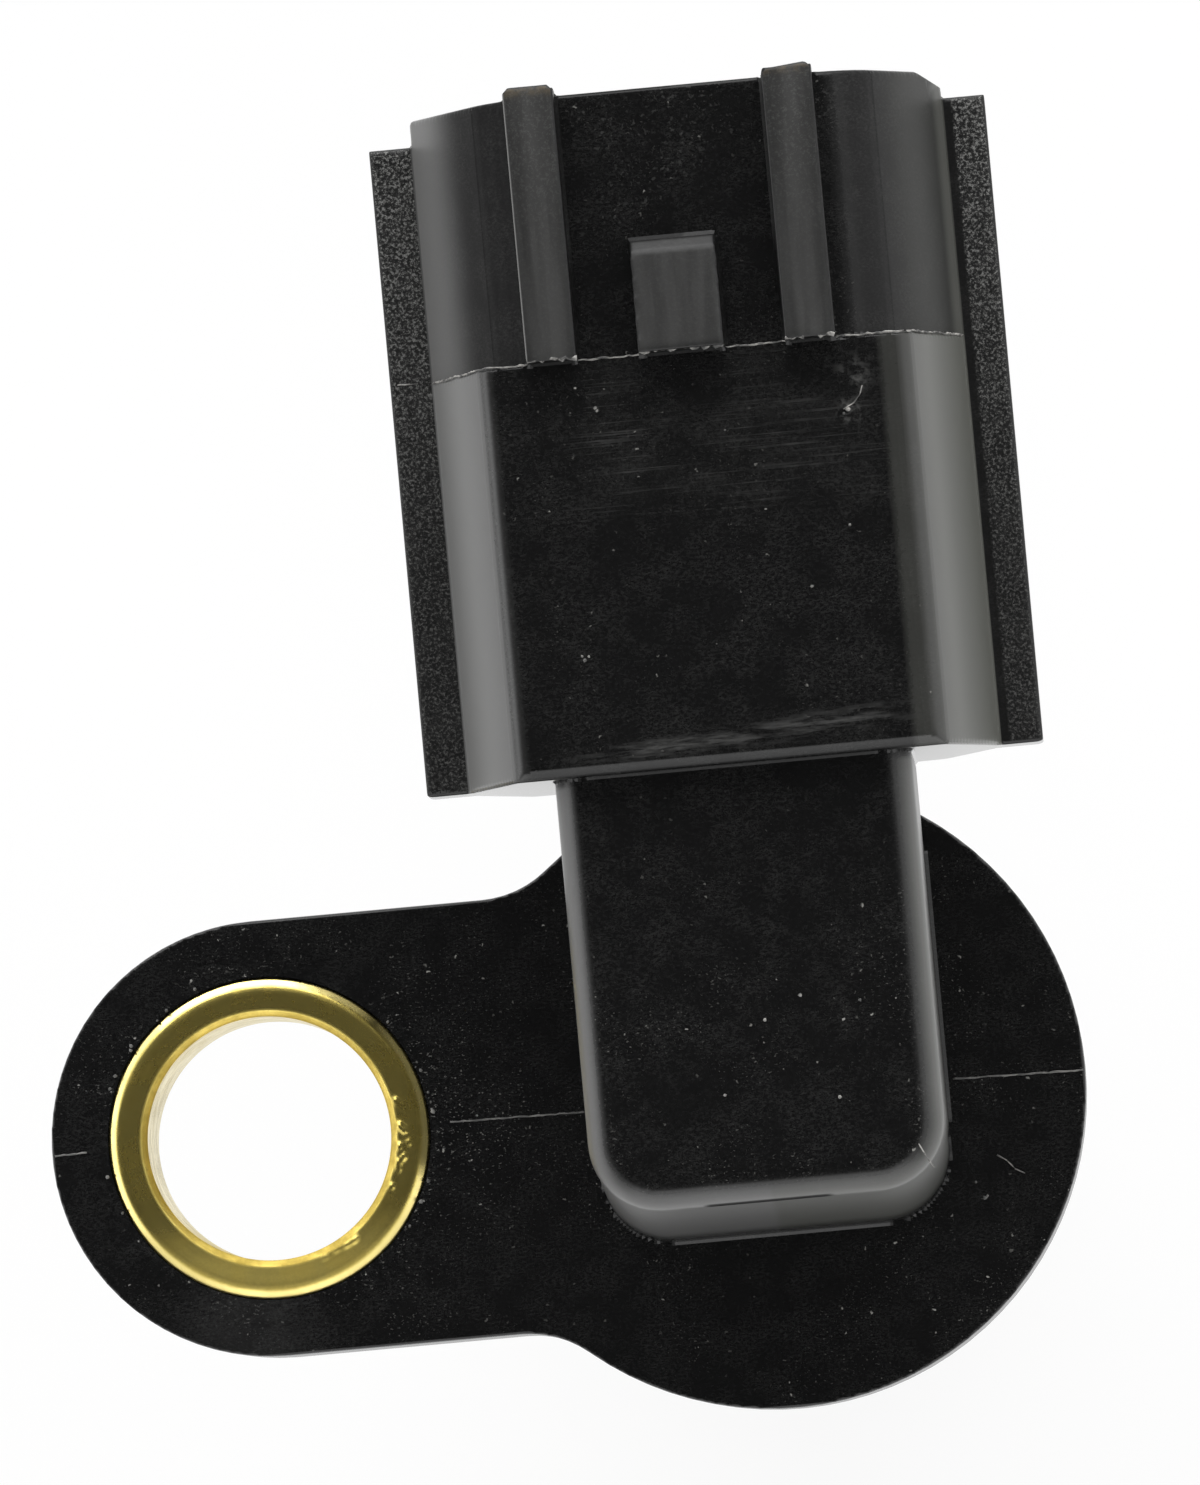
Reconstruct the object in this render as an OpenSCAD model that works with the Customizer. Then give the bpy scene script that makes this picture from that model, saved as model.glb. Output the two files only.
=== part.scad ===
// Crankshaft position sensor with a right-angle connector and one bolt ear.
// Lengths are millimetres. Z runs up the sensor axis away from the engine,
// Y runs out of the connector, X runs from the bolt ear to the round end.
// The origin lies on the sensor axis in the flange's mounting face.

/* [Flange] */
// Radius of the flange's round end
flange_r = 8.55; // [8.2:0.05:10]
// Thickness of the flange
flange_t = 6; // [5:0.5:9]
// Distance from the sensor axis to the bolt axis
ear_dist = 13.6; // [12.5:0.1:18]
// Radius of the bolt ear
ear_r = 5.9; // [5.6:0.1:7]
// Radius of the hollow blend between ear and round end
ear_blend_r = 2.8; // [1:0.2:4]
// Radius of the shallow recess round the bushing
spot_r = 5.05; // [4.8:0.05:5.4]
// Depth of the shallow recess round the bushing
spot_depth = 0.05; // [0.05:0.05:0.8]

/* [Bolt bushing] */
// Bore radius, a medium clearance hole for an M6 bolt
bush_bore_r = 3.3; // [3.1:0.05:3.5]
// Outer radius of the bushing
bush_r = 4.35; // [4.2:0.05:4.6]
// Width of the shallow chamfer on the bushing's outer rims
bush_chamfer = 0.42; // [0.2:0.02:0.5]
// Height of the shallow chamfer on the bushing's outer rims
bush_chamfer_h = 0.2; // [0.1:0.05:0.3]
// Chamfer on the bushing's inner rims
bush_inner_chamfer = 0.15; // [0.1:0.05:0.3]
// Width of the locking groove round the bushing
bush_groove_w = 1.6; // [1:0.1:2]
// Depth of the locking groove round the bushing
bush_groove_depth = 0.35; // [0.1:0.05:0.4]
// How far the bushing stands above the recess floor
bush_proud = 0.1; // [0:0.02:0.2]

/* [Connector shell] */
// Width of the shell
shell_w = 14.2; // [13.6:0.1:15.6]
// Height of the shell
shell_h = 10.4; // [9.8:0.1:12]
// Gap between the flange's top plane and the shell's underside
shell_clear = 0.9; // [0.4:0.1:4]
// Distance from the sensor axis to the shell's rear face
shell_rear_y = 8.5; // [8:0.1:10]
// Length of the shell behind the parting line
rear_len = 11; // [10:0.1:13]
// Length of the shell in front of the parting line
front_len = 7.05; // [6:0.05:9]
// Width of the shell's flat top behind the parting line, before its corners are rounded
rear_top_w = 11.3; // [10.8:0.1:11.6]
// Width of the shell's flat top in front of the parting line, before its corners are rounded
front_top_w = 9.5; // [9.2:0.1:10]
// Corner radius of the shell behind the parting line
rear_corner_r = 0.6; // [0.4:0.1:0.8]
// Corner radius of the shell in front of the parting line
front_corner_r = 2; // [1.6:0.1:2.2]
// Bevel along the shell's upper rear edge
rear_bevel = 0.27; // [0.1:0.01:0.5]
// Wall thickness round the socket
shell_wall = 1.3; // [1:0.1:1.6]
// Depth of the socket
socket_depth = 13; // [11:0.1:14]
// Width of the socket's flat top, before its corners are rounded
socket_top_w = 8.2; // [7.8:0.1:8.4]
// Corner radius of the socket
socket_corner_r = 0.6; // [0.4:0.1:0.8]

/* [Ribs, ramp and wings] */
// Width of each key rib
rib_w = 1.35; // [1:0.05:1.8]
// Height of each key rib
rib_h = 0.9; // [0.5:0.1:1.2]
// How far the key ribs reach past the mouth
rib_over = 0.25; // [0:0.05:0.5]
// Offset of the left key rib from the connector axis
rib_left = 3.75; // [3.4:0.05:4.2]
// Offset of the right key rib from the connector axis
rib_right = 3.1; // [2.6:0.1:3.8]
// Width of the latch ramp
ramp_w = 2.3; // [1.8:0.1:2.8]
// Length of the latch ramp
ramp_len = 3; // [2:0.1:4]
// Height of the latch ramp at its locking face
ramp_h = 1; // [0.7:0.1:1.4]
// Height of the latch ramp at its front
ramp_front_h = 0.6; // [0.4:0.1:0.7]
// Chamfer at the front of the latch ramp
ramp_chamfer = 0.33; // [0.1:0.01:0.35]
// Offset of the latch ramp from the connector axis
ramp_shift = 0.3; // [0:0.1:0.6]
// Overall width across the two side wings
wing_span = 16.5; // [16.2:0.1:18.5]
// Thickness of the side wings
wing_t = 2; // [1.2:0.1:2.6]
// Setback of the wings from the mouth
wing_setback = 0.7; // [0:0.05:1.5]

/* [Neck] */
// Width of the neck
neck_w = 9.5; // [8.6:0.1:10]
// Distance from the sensor axis to the neck's free end
neck_end = 3.1; // [2.8:0.1:4.2]
// Corner radius of the neck seen from above
neck_corner_r = 1.9; // [1.5:0.1:2.6]
// Radius along the neck's upper edges
neck_fillet_r = 0.9; // [0.4:0.1:1.2]
// Extra reach of the free end's foot beyond its top
neck_lean = 0.75; // [0.4:0.05:1]
// Drop from the shell's top to the neck's top
neck_drop = 0.9; // [0.4:0.1:2]
// Length of the neck's bridge that hangs clear of the flange
neck_bridge = 2.3; // [1.8:0.1:4]

/* [Nose] */
// Radius of the nose where it fits the engine
nose_r = 6.9; // [6.7:0.05:7.4]
// Length of the nose above the tip cap
nose_len = 8; // [7.4:0.1:12]
// Distance from the mounting face to the ring groove
groove_start = 2.2; // [1.2:0.1:2.8]
// Width of the ring groove
groove_w = 2.5; // [2.2:0.1:2.9]
// Section diameter of the rubber ring
ring_d = 1.9; // [1.5:0.05:2]
// How far the rubber ring stands out of the nose
ring_proud = 0.35; // [0.2:0.05:0.5]
// Lead-in chamfer at the nose's lower edge
nose_chamfer = 0.5; // [0.2:0.1:0.8]
// Length of the spigot that enters the tip cap
spigot_len = 4.5; // [4:0.1:5.5]
// Wall thickness of the spigot
spigot_wall = 0.75; // [0.6:0.05:0.85]
// Depth of the chamber roof below the mounting face
chamber_top = 5.5; // [4.8:0.1:5.8]

/* [Tip cap] */
// Outer radius of the tip cap
cap_r = 5.8; // [5.7:0.05:6.05]
// Wall thickness of the tip cap
cap_wall = 0.9; // [0.7:0.05:1]
// Floor thickness of the tip cap
cap_floor = 0.9; // [0.5:0.1:1.2]
// Rounding at the tip cap's end
cap_round = 0.6; // [0.2:0.1:0.8]
// Distance from the mounting face to the tip
nose_reach = 24; // [23.4:0.2:32]

/* [Sensing element] */
// Width of the sensing chip
ic_w = 5.2; // [4.6:0.1:5.4]
// Depth of the sensing chip
ic_d = 4.4; // [4:0.1:4.6]
// Thickness of the sensing chip
ic_t = 1.5; // [1:0.1:1.8]
// Radius of the bias magnet and of its steel plate
magnet_r = 2.1; // [1.6:0.05:2.15]
// Length of the bias magnet
magnet_len = 5; // [3:0.1:5.4]
// Thickness of the steel plate under the magnet
plate_t = 0.8; // [0.4:0.1:1.1]
// Width of the chip's leads
lead_w = 0.5; // [0.3:0.05:0.7]
// Thickness of the chip's leads
lead_t = 0.35; // [0.2:0.05:0.4]
// Reach of the chip's leads before they turn up
lead_reach = 0.8; // [0.7:0.05:0.85]
// Inner bend radius of the chip's leads
lead_bend_r = 0.2; // [0.1:0.05:0.3]
// Length along which lead and terminal overlap
weld_len = 3; // [1.5:0.1:3.4]
// Length of the chip capacitors
chip_len = 2; // [1.6:0.05:2]
// Width of the chip capacitors
chip_w = 1.25; // [0.8:0.05:1.4]
// Thickness of the chip capacitors
chip_t = 0.9; // [0.5:0.05:1.2]
// Length of each capacitor's metal end
chip_end = 0.35; // [0.2:0.05:0.5]
// How far each capacitor's metal ends stand out
chip_lip = 0.05; // [0.02:0.01:0.1]

/* [Terminals] */
// Spacing of the pins in the socket
pin_pitch = 3.2; // [2.6:0.1:3.6]
// Width of the pins
pin_w = 1.5; // [1:0.1:1.8]
// Thickness of the terminal strip
blade_t = 0.64; // [0.5:0.02:0.8]
// Length of the pins that stand in the socket
pin_len = 6.5; // [5:0.1:7]
// Chamfer at the pin tips
pin_chamfer = 0.35; // [0.1:0.05:0.45]
// Spacing of the terminal legs in the nose
leg_pitch = 2; // [1.8:0.05:2.1]
// Width of the terminal legs
leg_w = 1.2; // [0.9:0.05:1.3]
// Inner bend radius of the terminals
bend_r = 0.8; // [0.5:0.1:1.2]

/* [Clearances] */
// Gap round pieces that the housing is moulded over
insert_gap = 0.02; // [0.01:0.01:0.05]
// Gap round pieces that slide into their seats
slide_gap = 0.05; // [0.02:0.01:0.08]
// Gap between faces that rest on each other
seat_gap = 0.01; // [0.01:0.01:0.03]

/* [Hidden] */
$fn = 64;
eps = 0.01;
half = 0.5;
quarter_turn = 90;
eighth_turn = 45;
flange_top = flange_t;
ear_x = -ear_dist;
blend_cy = ear_r + ear_blend_r;
blend_cx = -sqrt(pow(flange_r + ear_blend_r, 2) - pow(blend_cy, 2));
blend_share = flange_r / (flange_r + ear_blend_r);
bush_top = flange_top - spot_depth + bush_proud;
bush_groove_z = (bush_top - bush_groove_w) * half;
bush_groove_r = bush_r - bush_groove_depth;
shell_bottom = flange_top + shell_clear;
shell_axis_z = shell_bottom + shell_h * half;
shell_top = shell_bottom + shell_h;
parting_y = shell_rear_y + rear_len;
mouth_y = parting_y + front_len;
socket_w = shell_w - 2 * shell_wall;
socket_h = shell_h - 2 * shell_wall;
socket_floor_y = mouth_y - socket_depth;
rib_root = rib_h * half;
wing_top = shell_axis_z + wing_t * half;
neck_top = shell_top - neck_drop;
neck_foot = flange_top * half;
neck_arc_x = neck_corner_r - neck_fillet_r;
neck_arc_z = neck_top - neck_fillet_r;
neck_post_x = neck_w * half - neck_corner_r;
neck_post_y = neck_corner_r - neck_end;
neck_front_y = shell_rear_y + rear_len * half * half;
neck_run = neck_front_y - neck_post_y;
neck_lean_r = neck_corner_r - slide_gap;
neck_lean_turn = atan(neck_lean / (neck_arc_z - flange_top));
neck_lean_h = (neck_arc_z - neck_foot) / cos(neck_lean_turn);
groove_r = nose_r + ring_proud - ring_d;
groove_bottom = groove_start + groove_w;
ring_r = groove_r + ring_d * half;
ring_z = -(groove_start + groove_bottom) * half;
cap_in_r = cap_r - cap_wall;
spigot_r = cap_in_r - slide_gap * half;
spigot_end = nose_len + spigot_len;
chamber_r = spigot_r - spigot_wall;
cap_floor_z = cap_floor - nose_reach;
holder_r = cap_in_r - slide_gap;
holder_bottom = cap_floor_z + seat_gap;
holder_top = -spigot_end - seat_gap;
ic_bottom = cap_floor_z + seat_gap;
ic_top = ic_bottom + ic_t;
plate_bottom = ic_top + seat_gap;
magnet_bottom = plate_bottom + plate_t + seat_gap;
magnet_top = magnet_bottom + magnet_len;
lead_z = ic_bottom + ic_t * half;
lead_y = ic_d * half + lead_reach;
leg_y = lead_y - lead_t * half - seat_gap - blade_t * half;
leg_face_y = leg_y - blade_t * half;
leg_bottom = seat_gap + slide_gap - spigot_end;
lead_top = leg_bottom + weld_len;
blade_mid_r = bend_r + blade_t * half;
lead_mid_r = lead_bend_r + lead_t * half;
pin_tip_y = socket_floor_y + pin_len;
strip_y = leg_y + blade_mid_r;
jog_start_y = strip_y + blade_t;
jog_end_y = socket_floor_y - shell_wall;
chip_y = leg_face_y - seat_gap - chip_t * half - chip_lip;
chip_low_z = leg_bottom + chip_w;
chip_high_z = chip_low_z + 2 * chip_w;
black = [0.07, 0.07, 0.075];
dark = [0.13, 0.13, 0.14];
gold = [0.78, 0.62, 0.30];
tin = [0.74, 0.74, 0.72];
steel = [0.52, 0.53, 0.55];
sand = [0.72, 0.66, 0.52];

// Section with sides that lean out to the wings, and round corners a hair inside their tangents
module lean_rect(w, h, top_w, r) {
    lean = atan2((h - wing_t) * half, (w - top_w) * half);
    cut = r * tan(lean * half);
    top_x = top_w * half - cut;
    side_x = top_w * half + cut * cos(lean);
    side_z = h * half - cut * sin(lean);
    polygon([
        [top_x, h * half],
        [side_x, side_z],
        [w * half, wing_t * half],
        [w * half, -wing_t * half],
        [side_x, -side_z],
        [top_x, -h * half],
        [-top_x, -h * half],
        [-side_x, -side_z],
        [-w * half, -wing_t * half],
        [-w * half, wing_t * half],
        [-side_x, side_z],
        [-top_x, h * half]
    ]);
    for (sx = [-1, 1])
        for (sy = [-1, 1])
            translate([sx * top_x, sy * (h * half - r)])
                circle(r = r - eps);
}

// Extrusion that runs back along Y from a given place
module back_from(y, z, length) {
    translate([0, y, z])
        rotate([quarter_turn, 0, 0])
            linear_extrude(height = length)
                children();
}

// Quarter of a bent strip about the X axis, turned by the given angle
module strip_bend(x, y, z, mid_r, w, t, turn) {
    translate([x, y, z])
        rotate([quarter_turn, 0, quarter_turn])
            rotate([0, 0, turn])
                rotate_extrude(angle = quarter_turn)
                    translate([mid_r, 0])
                        square([t, w], center = true);
}

// Flange seen from above
module flange_plan() {
    circle(r = flange_r);
    translate([ear_x, 0])
        circle(r = ear_r);
    translate([ear_x, -ear_r])
        square([ear_dist, 2 * ear_r]);
    for (side = [0, 1])
        mirror([0, side])
            difference() {
                polygon([
                    [0, 0],
                    [blend_cx, ear_r],
                    [blend_cx, blend_cy],
                    [blend_cx * blend_share, blend_cy * blend_share]
                ]);
                translate([blend_cx, blend_cy])
                    circle(r = ear_blend_r);
            }
}

// Half section of the neck's wall with its upper rounding
module neck_section() {
    translate([0, neck_foot])
        square([neck_corner_r, neck_arc_z - neck_foot]);
    translate([0, neck_foot])
        square([neck_arc_x, neck_top - neck_foot]);
    translate([neck_arc_x, neck_arc_z])
        circle(r = neck_fillet_r);
}

// Neck that carries the connector on the flange
module neck() {
    difference() {
        union() {
            back_from(neck_front_y, 0, neck_run)
                for (side = [0, 1])
                    mirror([side, 0])
                        translate([neck_post_x, 0]) {
                            neck_section();
                            translate([-neck_post_x, neck_foot])
                                square([neck_post_x + neck_arc_x, neck_top - neck_foot]);
                        }
            for (side = [0, 1])
                mirror([side, 0, 0])
                    translate([neck_post_x, neck_post_y, 0])
                        rotate([0, 0, -quarter_turn])
                            rotate_extrude(angle = quarter_turn)
                                neck_section();
            translate([neck_post_x, neck_post_y, 0])
                rotate([quarter_turn, 0, -quarter_turn])
                    linear_extrude(height = 2 * neck_post_x)
                        neck_section();
            neck_foot_lean();
        }
        translate([-neck_w, shell_rear_y - neck_bridge, 0])
            cube([2 * neck_w, neck_front_y, shell_bottom]);
    }
}

// Leaning foot of the neck's free end
module neck_foot_lean() {
    translate([0, neck_post_y, neck_arc_z])
        rotate([quarter_turn * 2 - neck_lean_turn, 0, 0]) {
            for (x = [-neck_post_x, neck_post_x])
                translate([x, 0, 0])
                    cylinder(r = neck_lean_r, h = neck_lean_h);
            translate([-neck_post_x, 0, 0])
                cube([2 * neck_post_x, neck_lean_r, neck_lean_h]);
        }
}

// Connector shell without its socket
module shell() {
    difference() {
        union() {
            back_from(mouth_y, shell_axis_z, front_len)
                lean_rect(shell_w, shell_h, front_top_w, front_corner_r);
            back_from(parting_y, shell_axis_z, rear_len)
                lean_rect(shell_w, shell_h, rear_top_w, rear_corner_r);
        }
        translate([0, shell_rear_y, shell_top])
            rotate([eighth_turn, 0, 0])
                cube([2 * shell_w, rear_bevel * sqrt(2), rear_bevel * sqrt(2)], center = true);
    }
    translate([-wing_span * half, shell_rear_y, wing_top - wing_t])
        cube([wing_span, mouth_y - wing_setback - shell_rear_y, wing_t]);
    for (x = [-rib_left, rib_right])
        translate([x - rib_w * half, parting_y, shell_top - rib_root])
            cube([rib_w, front_len + rib_over, rib_h + rib_root]);
    translate([-ramp_shift - ramp_w * half, 0, 0])
        rotate([quarter_turn, 0, quarter_turn])
            linear_extrude(height = ramp_w)
                polygon([
                    [parting_y, shell_top - rib_root],
                    [parting_y + ramp_len, shell_top - rib_root],
                    [parting_y + ramp_len, shell_top + ramp_front_h - ramp_chamfer],
                    [parting_y + ramp_len - ramp_chamfer, shell_top + ramp_front_h],
                    [parting_y, shell_top + ramp_h]
                ]);
}

// Nose with its ring groove, spigot and chamber
module nose() {
    rotate_extrude()
        polygon([
            [0, neck_foot],
            [nose_r, neck_foot],
            [nose_r, -groove_start],
            [groove_r, -groove_start],
            [groove_r, -groove_bottom],
            [nose_r, -groove_bottom],
            [nose_r, nose_chamfer - nose_len],
            [nose_r - nose_chamfer, -nose_len],
            [spigot_r, -nose_len],
            [spigot_r, -spigot_end],
            [chamber_r, -spigot_end],
            [chamber_r, -chamber_top],
            [0, -chamber_top]
        ]);
}

// Seat of the bushing, with the ring of plastic that fills its groove
module bush_seat() {
    translate([ear_x, 0, 0])
        rotate_extrude()
            polygon([
                [0, -eps],
                [bush_r + insert_gap, -eps],
                [bush_r + insert_gap, bush_groove_z + insert_gap],
                [bush_groove_r + insert_gap, bush_groove_z + insert_gap],
                [bush_groove_r + insert_gap, bush_groove_z + bush_groove_w - insert_gap],
                [bush_r + insert_gap, bush_groove_z + bush_groove_w - insert_gap],
                [bush_r + insert_gap, flange_top + eps],
                [0, flange_top + eps]
            ]);
}

// Strip of one terminal, grown by the given gap
module terminal_strip(x_pin, x_leg, gap) {
    pin_half = pin_w * half + gap;
    leg_half = leg_w * half + gap;
    strip_t = blade_t + 2 * gap;
    translate([0, 0, shell_axis_z - strip_t * half])
        linear_extrude(height = strip_t)
            polygon([
                [x_leg - leg_half, strip_y],
                [x_leg + leg_half, strip_y],
                [x_leg + leg_half, jog_start_y],
                [x_pin + pin_half, jog_end_y],
                [x_pin + pin_half, pin_tip_y - pin_chamfer],
                [x_pin + pin_half - pin_chamfer, pin_tip_y],
                [x_pin - pin_half + pin_chamfer, pin_tip_y],
                [x_pin - pin_half, pin_tip_y - pin_chamfer],
                [x_pin - pin_half, jog_end_y],
                [x_leg - leg_half, jog_start_y]
            ]);
    bend_z = shell_axis_z - blade_mid_r;
    strip_bend(x_leg, strip_y, bend_z, blade_mid_r, 2 * leg_half, strip_t, quarter_turn);
    translate([x_leg - leg_half, leg_y - strip_t * half, leg_bottom])
        cube([2 * leg_half, strip_t, bend_z - leg_bottom]);
}

// One lead of the sensing chip
module chip_lead(x) {
    translate([x - lead_w * half, ic_d * half + seat_gap, lead_z - lead_t * half])
        cube([lead_w, lead_reach - lead_mid_r - seat_gap, lead_t]);
    strip_bend(x, lead_y - lead_mid_r, lead_z + lead_mid_r, lead_mid_r, lead_w, lead_t, -quarter_turn);
    translate([x - lead_w * half, lead_y - lead_t * half, lead_z + lead_mid_r])
        cube([lead_w, lead_t, lead_top - lead_z - lead_mid_r]);
}

// One chip capacitor across two terminal legs
module chip_capacitor(x, z) {
    translate([x, chip_y, z]) {
        cube([chip_len, chip_t, chip_w], center = true);
        for (side = [-1, 1])
            translate([side * (chip_len - chip_end) * half, 0, 0])
                cube([chip_end, chip_t + 2 * chip_lip, chip_w + 2 * chip_lip], center = true);
    }
}

// Moulded housing
module housing() {
    color(black)
        difference() {
            union() {
                linear_extrude(height = flange_t)
                    flange_plan();
                nose();
                neck();
                shell();
            }
            back_from(mouth_y + eps, shell_axis_z, socket_depth + eps)
                lean_rect(socket_w, socket_h, socket_top_w, socket_corner_r);
            bush_seat();
            translate([ear_x, 0, flange_top - spot_depth])
                cylinder(r = spot_r, h = spot_depth + eps);
            for (place = [-1, 0, 1])
                terminal_strip(place * pin_pitch, place * leg_pitch, insert_gap);
        }
}

// Brass bushing in the bolt ear
module bolt_bushing() {
    color(gold)
        translate([ear_x, 0, 0])
            rotate_extrude()
                polygon([
                    [bush_bore_r, bush_inner_chamfer],
                    [bush_bore_r + bush_inner_chamfer, 0],
                    [bush_r - bush_chamfer, 0],
                    [bush_r, bush_chamfer_h],
                    [bush_r, bush_groove_z],
                    [bush_groove_r, bush_groove_z],
                    [bush_groove_r, bush_groove_z + bush_groove_w],
                    [bush_r, bush_groove_z + bush_groove_w],
                    [bush_r, bush_top - bush_chamfer_h],
                    [bush_r - bush_chamfer, bush_top],
                    [bush_bore_r + bush_inner_chamfer, bush_top],
                    [bush_bore_r, bush_top - bush_inner_chamfer]
                ]);
}

// Rubber ring in the nose groove
module o_ring() {
    color(dark)
        translate([0, 0, ring_z])
            rotate_extrude()
                translate([ring_r + seat_gap, 0])
                    circle(d = ring_d);
}

// Closed cap over the nose end
module tip_cap() {
    color(black)
        difference() {
            union() {
                translate([0, 0, cap_round - nose_reach])
                    cylinder(r = cap_r, h = nose_reach - cap_round - nose_len - seat_gap);
                translate([0, 0, -nose_reach])
                    cylinder(r = cap_r - cap_round, h = cap_floor + cap_round);
                translate([0, 0, cap_round - nose_reach])
                    rotate_extrude()
                        translate([cap_r - cap_round, 0])
                            circle(r = cap_round);
            }
            translate([0, 0, cap_floor_z])
                cylinder(r = cap_in_r, h = nose_reach);
        }
}

// Terminal of the supply
module terminal_supply() {
    color(tin)
        terminal_strip(pin_pitch, leg_pitch, 0);
}

// Terminal of the ground
module terminal_ground() {
    color(tin)
        terminal_strip(0, 0, 0);
}

// Terminal of the signal
module terminal_signal() {
    color(tin)
        terminal_strip(-pin_pitch, -leg_pitch, 0);
}

// Carrier that holds chip, plate and magnet in the tip
module element_holder() {
    ic_depth = ic_top - holder_bottom + eps;
    slot_w = lead_w + 2 * slide_gap;
    color(sand)
        difference() {
            translate([0, 0, holder_bottom])
                cylinder(r = holder_r, h = holder_top - holder_bottom);
            translate([0, 0, (ic_top + holder_bottom - eps) * half])
                cube([ic_w + 2 * slide_gap, ic_d + 2 * slide_gap, ic_depth], center = true);
            translate([0, 0, ic_top - eps])
                cylinder(r = magnet_r + slide_gap, h = magnet_top - ic_top + seat_gap + eps);
            for (x = [-leg_pitch, 0, leg_pitch])
                translate([x - slot_w * half, 0, holder_bottom - eps]) {
                    translate([0, lead_y - lead_t * half - slide_gap, 0])
                        cube([slot_w, holder_r, holder_top - holder_bottom + 2 * eps]);
                    cube([slot_w, lead_y, ic_depth]);
                }
        }
}

// Sensing chip against the tip cap's floor
module hall_ic() {
    color(dark)
        translate([0, 0, (ic_bottom + ic_top) * half])
            cube([ic_w, ic_d, ic_t], center = true);
}

// Chip lead of the supply
module lead_supply() {
    color(tin)
        chip_lead(leg_pitch);
}

// Chip lead of the ground
module lead_ground() {
    color(tin)
        chip_lead(0);
}

// Chip lead of the signal
module lead_signal() {
    color(tin)
        chip_lead(-leg_pitch);
}

// Steel plate between chip and magnet
module flux_plate() {
    color(steel)
        translate([0, 0, plate_bottom])
            cylinder(r = magnet_r, h = plate_t);
}

// Magnet behind the sensing chip
module bias_magnet() {
    color(dark)
        translate([0, 0, magnet_bottom])
            cylinder(r = magnet_r, h = magnet_len);
}

// Capacitor between supply and ground
module capacitor_supply() {
    color(sand)
        chip_capacitor(leg_pitch * half, chip_low_z);
}

// Capacitor between signal and ground
module capacitor_signal() {
    color(sand)
        chip_capacitor(-leg_pitch * half, chip_high_z);
}

housing();
bolt_bushing();
o_ring();
tip_cap();
terminal_supply();
terminal_ground();
terminal_signal();
element_holder();
hall_ic();
lead_supply();
lead_ground();
lead_signal();
flux_plate();
bias_magnet();
capacitor_supply();
capacitor_signal();
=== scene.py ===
import math, random
import bpy, bmesh
import numpy as np
from mathutils import Matrix, Vector
from mathutils.kdtree import KDTree


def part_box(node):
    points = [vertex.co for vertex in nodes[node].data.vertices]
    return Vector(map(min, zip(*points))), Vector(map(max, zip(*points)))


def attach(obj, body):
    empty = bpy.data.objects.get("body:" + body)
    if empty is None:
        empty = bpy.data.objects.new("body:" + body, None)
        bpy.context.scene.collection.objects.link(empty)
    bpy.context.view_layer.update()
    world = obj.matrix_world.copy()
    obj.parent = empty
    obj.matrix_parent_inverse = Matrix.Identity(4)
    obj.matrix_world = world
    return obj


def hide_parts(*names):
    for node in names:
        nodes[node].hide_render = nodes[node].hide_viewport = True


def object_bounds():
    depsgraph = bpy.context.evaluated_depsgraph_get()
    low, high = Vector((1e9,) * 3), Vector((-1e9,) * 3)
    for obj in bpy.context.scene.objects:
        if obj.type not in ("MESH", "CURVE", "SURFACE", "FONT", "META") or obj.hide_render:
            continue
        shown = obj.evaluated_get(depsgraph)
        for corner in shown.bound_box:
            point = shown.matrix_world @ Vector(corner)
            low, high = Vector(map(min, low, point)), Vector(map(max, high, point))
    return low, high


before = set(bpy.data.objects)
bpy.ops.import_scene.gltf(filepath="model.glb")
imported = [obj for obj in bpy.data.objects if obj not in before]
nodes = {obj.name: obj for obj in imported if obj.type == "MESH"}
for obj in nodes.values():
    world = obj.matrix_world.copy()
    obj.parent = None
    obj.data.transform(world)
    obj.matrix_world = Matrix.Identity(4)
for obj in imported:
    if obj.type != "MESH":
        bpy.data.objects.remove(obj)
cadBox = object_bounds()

mm = 0.001
dullGloss = 0.05  # specular level of plastic that has lost its gloss
print("frame loaded:", len(nodes), "nodes")


class Wire:  # a socket that can stand in a sum
    def __init__(self, finish, socket):
        self.finish, self.socket = finish, socket

    def also(self, name):
        return Wire(self.finish, self.socket.node.outputs[name])

    def sum(self, kind, a, b):
        return self.finish.node("Math", {"operation": kind}, {0: a, 1: b})

    def __add__(self, other):
        return self.sum("ADD", self, other)

    def __radd__(self, other):
        return self.sum("ADD", other, self)

    def __sub__(self, other):
        return self.sum("SUBTRACT", self, other)

    def __rsub__(self, other):
        return self.sum("SUBTRACT", other, self)

    def __mul__(self, other):
        return self.sum("MULTIPLY", self, other)

    def __rmul__(self, other):
        return self.sum("MULTIPLY", other, self)

    def __truediv__(self, other):
        return self.sum("DIVIDE", self, other)

    def __abs__(self):
        return self.sum("ABSOLUTE", self, 0)


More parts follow.
